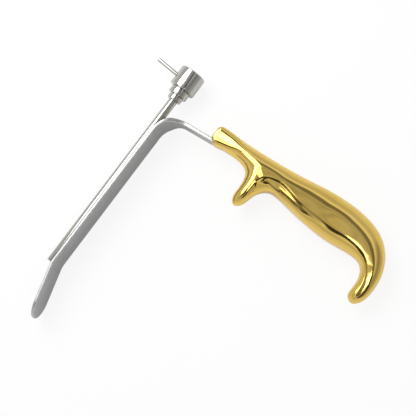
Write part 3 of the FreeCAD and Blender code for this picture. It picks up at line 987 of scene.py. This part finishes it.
@dataclass(frozen=True)
class Seam:
    """The solder in the corner of tube and blade: a hollow fillet, swelling as if hand-laid.

    Attributes:
        margin: how far above the blade's knee it starts.
        top_margin: how far below the corner it ends.
        width: how far it reaches out over the blade.
        climb: how far it climbs round the tube, in degrees.
        swells: (amplitude, turns in radians per millimetre, start) of the waves along it.
        fade: the length over which it thins out at each end.
        thinnest: the share of the width that is left at the ends.
        lowest: the share of the climb that is left there.
        hollow: where the curve's control lies: a share of the width, and a height.
        root: the distance from the middle and the height of its hidden inner edge.
    """

    margin: float = 2.0
    top_margin: float = 16.0
    width: float = 2.116
    climb: float = 43.0
    swells: Triples = ((0.05, 0.7, 0.0), (0.04, 1.9, 1.0))
    fade: float = 1.2
    thinnest: float = 0.25
    lowest: float = 0.35
    hollow: Pair = (0.62, 0.16)
    root: Pair = (0.9, 0.14)
    rows: int = 160
    marks: int = 9

    def surface(self, side: int, radius: float) -> Surface:
        """The solder on one side of the tube.

        Across, it runs from the blade up the tube along a curve that sags towards the corner;
        along, its reach swells and shrinks a little.

        Args:
            side: 1 or -1 for the near or the far side.
            radius: the tube's.

        Returns:
            The welded surface.
        """
        low, high = self.margin - BLADE_LENGTH, -self.top_margin
        along = np.linspace(low, high, self.rows)
        swell = 1 + sum(size * np.sin(along * pace + start) for size, pace, start in self.swells)
        ends = (np.sqrt(np.clip((along - low) / self.fade, 0, 1))
                * np.sqrt(np.clip((high - along) / self.fade, 0, 1)))
        level = np.zeros(self.rows)
        reach = self.width * swell * (self.thinnest + (1 - self.thinnest) * ends)
        climb = math.radians(self.climb) * (self.lowest + (1 - self.lowest) * ends)
        foot = np.stack([reach, level], axis=1)
        top = np.stack([np.sin(climb), 1 - np.cos(climb)], axis=1) * radius
        hollow = np.stack([reach * self.hollow[0], level + self.hollow[1]], axis=1)
        inside = np.stack([level + self.root[0], level], axis=1)
        deep = np.stack([level + self.root[0], level + self.root[1]], axis=1)
        front = arched(foot[:, None], hollow[:, None], top[:, None], self.marks)
        section = np.concatenate([inside[:, None], front, deep[:, None], inside[:, None]], axis=1)
        back = PLANE.back_of_blade()
        base = PLANE.up_blade() * along[:, None] + back * BLADE_THICKNESS
        points = base[:, None] + back * section[..., 1:] + ACROSS * side * section[..., :1]
        count = section.shape[1] - 1
        caps = [tuple(range(count))[::side], tuple(range(2 * count - 1, count - 1, -1))[::side]]
        closing = Surface(np.concatenate([points[0, :-1], points[-1, :-1]]), caps,
                          np.zeros(2 * count))
        return grid_surface(points, flip=side < 0).joined(closing).welded()


@dataclass(frozen=True)
class LightGuide:
    """The tube along the blade's back with its fibres and solder, and the stepped adapter."""

    tube_diameter: float = 6.0
    tube_wall: float = 0.6
    tube_overhang: float = 0.8
    collar_start: float = 11.1
    collar_diameter: float = 9.5
    collar_length: float = 3.8
    ring_diameter: float = 13.0
    ring_length: float = 4.9
    spigot_diameter: float = 11.4
    spigot_length: float = 4.6
    sleeve_diameter: float = 17.7
    sleeve_length: float = 13.6
    sleeve_chamfer: float = 0.6
    port_diameter: float = 10.0
    turned_chamfer: float = 0.3
    ferrule_diameter: float = 7.6
    fibre_gap: float = 0.05
    fibre_inset: float = 0.02
    pin_diameter: float = 2.6
    pin_length: float = 16.2
    pin_depth: float = 2.6
    pin_height: float = 6.8
    pin_tilt: float = 4.5
    pin_dome: float = 0.5
    pin_softness: float = 0.12
    dome_marks: int = 8
    around: int = 144
    corner_marks: int = 4
    corner_share: float = 0.4
    seam: Seam = Seam()
    steel: Metal = POLISHED_STEEL
    solder: Metal = SILVER_SOLDER
    glass: FibreGlass = FibreGlass()

    def softened(self, corners: Array, soft: float) -> tuple[Array, Array]:
        """A profile whose corners are replaced by quadratic curves, so that they catch light.

        Args:
            corners: (n, 2) closed profile, or open where both ends lie on the axis.
            soft: the reach of each curve, in millimetres, at most a share of the sides.

        Returns:
            The points of the profile, and their wear: 1 on the curves.
        """
        count = len(corners)
        open_ends = (0, count - 1) if corners[0, 0] == corners[-1, 0] == 0 else ()
        line, wear = [], []
        for k, corner in enumerate(corners):
            if k in open_ends:
                line.append(corner[None, :])
                wear.append([0.0])
                continue
            before, after = corners[k - 1] - corner, corners[(k + 1) % count] - corner
            long_before, long_after = np.linalg.norm(before), np.linalg.norm(after)
            reach = min(soft, self.corner_share * long_before, self.corner_share * long_after)
            line.append(arched(corner + before / long_before * reach, corner,
                               corner + after / long_after * reach, self.corner_marks))
            wear.append([1.0] * self.corner_marks)
        ring, worn = np.concatenate(line), np.concatenate(wear)
        if not open_ends:
            ring, worn = np.vstack([ring, ring[:1]]), np.append(worn, worn[0])
        return ring, worn

    def turned(self, profile: Sequence[Pair], foot: Array, axis: Array,
               soft: float = 0.08) -> Surface:
        """A turned piece: a softened profile of (radius, height) carried round its axis.

        Args:
            profile: corners, closed, or open where both ends lie on the axis.
            foot: where height 0 lies on the axis.
            axis: the axis's direction.
            soft: the reach of the rounding, in millimetres.

        Returns:
            The welded surface.
        """
        ring, worn = self.softened(np.array(profile, dtype=float), soft)
        angle = np.linspace(0, 2 * math.pi, self.around + 1)[:, None]
        radial = np.cos(angle) * ACROSS + np.sin(angle) * np.cross(axis, ACROSS)
        points = foot + ring[None, :, 1:] * axis + ring[None, :, :1] * radial[:, None, :]
        points[-1] = points[0]
        return grid_surface(points, wear=worn).welded()

    def on_tube(self, height: float) -> Array:
        """The point of the tube's axis at a height above the corner."""
        back = PLANE.back_of_blade() * (BLADE_THICKNESS + self.tube_diameter / 2)
        return back + PLANE.up_blade() * height

    def build(self) -> list[bpy.types.Object]:
        """The tube, its fibres and solder, and the adapter's pieces."""
        steel, solder = self.steel.material(), self.solder.material()
        tube, sleeve = self.tube_diameter / 2, self.sleeve_diameter / 2
        bore, seat, port = tube - self.tube_wall, self.ferrule_diameter / 2, self.port_diameter / 2
        collar, ring, spigot = (self.collar_diameter / 2, self.ring_diameter / 2,
                                self.spigot_diameter / 2)
        low = -(BLADE_LENGTH + self.tube_overhang)
        ring_start = self.collar_start + self.collar_length
        sleeve_start = ring_start + self.ring_length
        tube_end = sleeve_start - low
        floor, cut, rim = self.spigot_length, self.turned_chamfer, self.sleeve_chamfer
        core, inset = bore - self.fibre_gap, self.fibre_inset
        collar_end, ring_end, sleeve_end = self.collar_length, self.ring_length, self.sleeve_length
        metal = (steel, Slot.LIGHT_GUIDE)
        made = [
            ("tube_wall", "light_tube", low, metal,
             [(bore, 0), (tube, 0), (tube, tube_end), (bore, tube_end)]),
            ("fibre_core", "fibre_bundle", low, (self.glass.material(), Slot.FIBRE),
             [(0, inset), (core, inset), (core, tube_end + floor), (0, tube_end + floor)]),
            ("collar_turned", "tube_collar", self.collar_start, metal,
             [(tube, 0), (collar - cut, 0), (collar, cut), (collar, collar_end),
              (tube, collar_end)]),
            ("adapter_foot", "adapter_body", ring_start, metal,
             [(tube, 0), (ring - cut, 0), (ring, cut), (ring, ring_end), (spigot, ring_end),
              (spigot, ring_end + floor), (seat, ring_end + floor), (seat, ring_end),
              (tube, ring_end)]),
            ("fibre_ferrule_turned", "fibre_ferrule", sleeve_start, metal,
             [(bore, 0), (seat, 0), (seat, floor), (bore, floor)]),
            ("sleeve_turned", "adapter_sleeve", sleeve_start, metal,
             [(spigot, 0), (sleeve - cut, 0), (sleeve, cut), (sleeve, sleeve_end - rim),
              (sleeve - rim, sleeve_end), (port + rim, sleeve_end), (port, sleeve_end - rim),
              (port, floor), (spigot, floor)]),
        ]
        pieces = [
            make_piece(name, self.turned(profile, self.on_tube(start), PLANE.up_blade()), *look,
                       [node])
            for name, node, start, look, profile in made]
        pieces.append(self.pin(sleeve_start, *metal))
        for side, word in ((1, "near"), (-1, "far")):
            pieces.append(make_piece(f"solder_{word}", self.seam.surface(side, tube), solder,
                                     Slot.SOLDER, [f"solder_seam_{word}"]))
        return pieces

    def pin(self, sleeve_start: float, steel: bpy.types.Material, slot: Slot) -> bpy.types.Object:
        """The domed pin, square to the adapter apart from a slight tilt."""
        radius, length = self.pin_diameter / 2, self.pin_depth + self.pin_length
        back = PLANE.back_of_blade()
        out = turn_about_z(back, -self.pin_tilt)
        foot = (self.on_tube(sleeve_start + self.pin_height) + back * self.sleeve_diameter / 2
                - out * self.pin_depth)
        ball = (radius**2 + self.pin_dome**2) / (2 * self.pin_dome)
        spread = math.asin(radius / ball) * np.linspace(1, 0, self.dome_marks)
        dome = np.stack([ball * np.sin(spread), length - ball + ball * np.cos(spread)], axis=1)
        profile = [(0.0, 0.0), (radius, 0.0), *dome]
        return make_piece("pin_turned", self.turned(profile, foot, out, self.pin_softness), steel,
                          slot, ["side_pin"])


@dataclass(frozen=True)
class Lobe:
    """A round patch of the surroundings that is brighter or darker than the rest.

    Attributes:
        azimuth: where its middle lies, in degrees.
        zenith: how far its middle lies from straight up, in degrees.
        inner: the angle from the middle, in degrees, out to which it has its full strength.
        outer: the angle at which it ends.
        gain: how much brightness it adds.
    """

    azimuth: float
    zenith: float
    inner: float
    outer: float
    gain: float


@dataclass(frozen=True)
class Lamp:
    """A soft box that faces down and fades towards its edges.

    Attributes:
        name: the lamp's name.
        at: where it stands, in metres.
        size: its sides, in metres.
        strength: its brightness, where 1 is the brightness of the white table.
        fade: the share of each side over which it fades in from the edge.
    """

    name: str
    at: Triple
    size: Pair
    strength: float
    fade: float

    def hang(self) -> None:
        """Put the lamp into the scene, out of the camera's sight."""
        data = bpy.data.lights.new(self.name, "AREA")
        data.shape = "RECTANGLE"
        data.size, data.size_y = self.size
        data.energy = math.pi * self.size[0] * self.size[1]
        bench = Bench(data, "Light")
        place = bench.node("SeparateXYZ", _0=bench.node("NewGeometry").outputs["Parametric"])
        glow = self.strength
        for axis in ("X", "Y"):
            inward = bench.combine("PINGPONG", place.outputs[axis], 0.5)
            glow = bench.combine("MULTIPLY", bench.smooth(inward, From_Max=self.fade), glow)
        bench.finish(bench.node("Emission", Strength=glow))
        lamp = bpy.data.objects.new(self.name, data)
        lamp.location = self.at
        lamp.visible_camera = False
        bpy.context.scene.collection.objects.link(lamp)


@dataclass(frozen=True)
class Studio:
    """White table, soft boxes and the camera, which looks down on the part as it lies.

    Attributes:
        target: what the camera looks at, in millimetres.
        towards_camera: the direction from there to the camera.
        distance: how far away the camera is, in millimetres.
        focal: its focal length, in millimetres.
        sensor: its sensor's width, in millimetres.
        table_half: half the table's side, in metres.
        paper: the table's own colour.
        glow_share: how much of the table's white is its glow, where it is seen directly.
        mirrored_share: how much of that glow a mirror sees.
        rings: (angle from the rings' middle in degrees, brightness) of the surroundings.
        rings_middle: azimuth and zenith of the rings' middle, in degrees.
        darkest: the least brightness of the surroundings.
        lobes: the patches that raise or lower the rings.
        lamps: the soft boxes.
    """

    target: Triple = (0.643, -15.429, 12.5)
    towards_camera: Triple = (0.0928, -0.1664, 0.9817)
    distance: float = 608.0
    focal: float = 83.077
    sensor: float = 36.0
    table_half: float = 3.0
    paper: Triple = (0.9, 0.9, 0.9)
    glow_share: float = 0.86
    mirrored_share: float = 0.2
    rings: Pairs = (
        (0, 0.58), (7.5, 0.6), (9.5, 0.4), (11, 0.62), (13, 0.36), (14.5, 0.62),
        (17, 0.2), (25.5, 0.22), (28.5, 0.95), (36, 0.85), (42, 0.62), (60, 0.6),
        (64, 0.76), (90, 0.85))
    rings_middle: Pair = (60.0, 3.0)
    darkest: float = 0.04
    lobes: tuple[Lobe, ...] = (
        Lobe(335, 62, 24, 44, -0.26),
        Lobe(297, 42, 10, 19, -0.6),
        Lobe(228, 24, 5, 9, -0.9),
        Lobe(262, 19, 5, 10, -0.7),
        Lobe(322, 29, 4, 9, -0.7),
        Lobe(193, 26.5, 2.5, 5.5, -0.62),
        Lobe(206, 31, 3, 6, -0.5),
    )
    lamps: tuple[Lamp, ...] = (
        Lamp("overhead box", (-0.27, 0.385, 0.6), (0.52, 0.5), 4.8, 0.05),
        Lamp("side box", (-0.135, 0.075, 0.6), (0.17, 0.14), 3.2, 0.3),
        Lamp("low box", (-0.265, 0.062, 0.6), (0.2, 0.17), 4.2, 0.12),
        Lamp("front box", (0.19, -0.19, 0.6), (0.2, 0.16), 4.6, 0.12),
    )

    def camera(self) -> None:
        """Aim the camera at the target, its sideways axis square to the frame's Y."""
        data = bpy.data.cameras.new("camera")
        data.sensor_width = self.sensor
        data.sensor_fit = "HORIZONTAL"
        data.lens = self.focal
        data.clip_start = 0.01
        back = Vector(self.towards_camera).normalized()
        right = Vector((0.0, 1.0, 0.0)).cross(back).normalized()
        spin = Matrix((right, back.cross(right), back)).transposed().to_4x4()
        place = (Vector(self.target) + back * self.distance) * MM
        camera = bpy.data.objects.new("camera", data)
        camera.matrix_world = Matrix.Translation(place) @ spin
        bpy.context.scene.collection.objects.link(camera)
        bpy.context.scene.camera = camera

    def floor(self) -> None:
        """A wide white table under the part, which glows where the camera sees it."""
        half = self.table_half
        corners = [(-half, -half, 0), (half, -half, 0), (half, half, 0), (-half, half, 0)]
        mesh = bpy.data.meshes.new("table")
        mesh.from_pydata(corners, [], [(0, 1, 2, 3)])
        table = bpy.data.objects.new("table", mesh)
        bpy.context.scene.collection.objects.link(table)
        bench = Bench.material("white table")
        paper = bench.node("BsdfDiffuse", Color=(*self.paper, 1.0)).outputs[0]
        glow = bench.node("Emission", Color=WHITE, Strength=1.0).outputs[0]
        path = bench.node("LightPath").outputs
        mirrored = bench.combine("MULTIPLY", path["Is Glossy Ray"], self.mirrored_share)
        seen = bench.combine("MAXIMUM", path["Is Camera Ray"], mirrored)
        seen = bench.combine("MAXIMUM", seen, path["Is Transmission Ray"])
        share = bench.combine("MULTIPLY", seen, self.glow_share)
        bench.finish(bench.node("MixShader", _0=share, _1=paper, _2=glow))
        mesh.materials.append(bench.owner)

    def sky(self) -> None:
        """Surroundings of soft grey rings round one direction, raised and lowered by lobes."""
        world = bpy.data.worlds.new("studio")
        bpy.context.scene.world = world
        bench = Bench(world, "World")
        where = bench.node("TexCoord").outputs["Generated"]
        angle = bench.combine("ARCCOSINE", bench.facing(where, towards(*self.rings_middle)))
        ramp = bench.node("ValToRGB", _0=bench.combine("DIVIDE", angle, math.pi / 2))
        stops = ramp.color_ramp.elements
        while len(stops) < len(self.rings):
            stops.new(0.5)
        for stop, (degrees, bright) in zip(stops, self.rings):
            stop.position = degrees / 90
            stop.color = (bright, bright, bright, 1.0)
        level = ramp.outputs[0]
        for lobe in self.lobes:
            near = bench.facing(where, towards(lobe.azimuth, lobe.zenith))
            patch = bench.smooth(near, From_Min=math.cos(math.radians(lobe.outer)),
                                 From_Max=math.cos(math.radians(lobe.inner)), To_Max=lobe.gain)
            level = bench.combine("ADD", patch, level)
        level = bench.combine("MAXIMUM", level, self.darkest)
        bench.finish(bench.node("Background", Color=WHITE, Strength=level))

    def build(self) -> None:
        """Set up the table, the light and the camera."""
        self.floor()
        self.sky()
        for lamp in self.lamps:
            lamp.hang()
        self.camera()
        bpy.context.scene.view_settings.view_transform = "Standard"


def main() -> None:
    """Build the assemblies in order and log each piece."""
    logging.basicConfig(level=logging.INFO, format="%(name)s: %(message)s")
    for assembly in (Blade(), Handle(), LightGuide()):
        for piece in assembly.build():
            LOG.info("%s: %d faces", piece.name, len(piece.data.polygons))
    Studio().build()


if __name__ == "__main__":
    main()
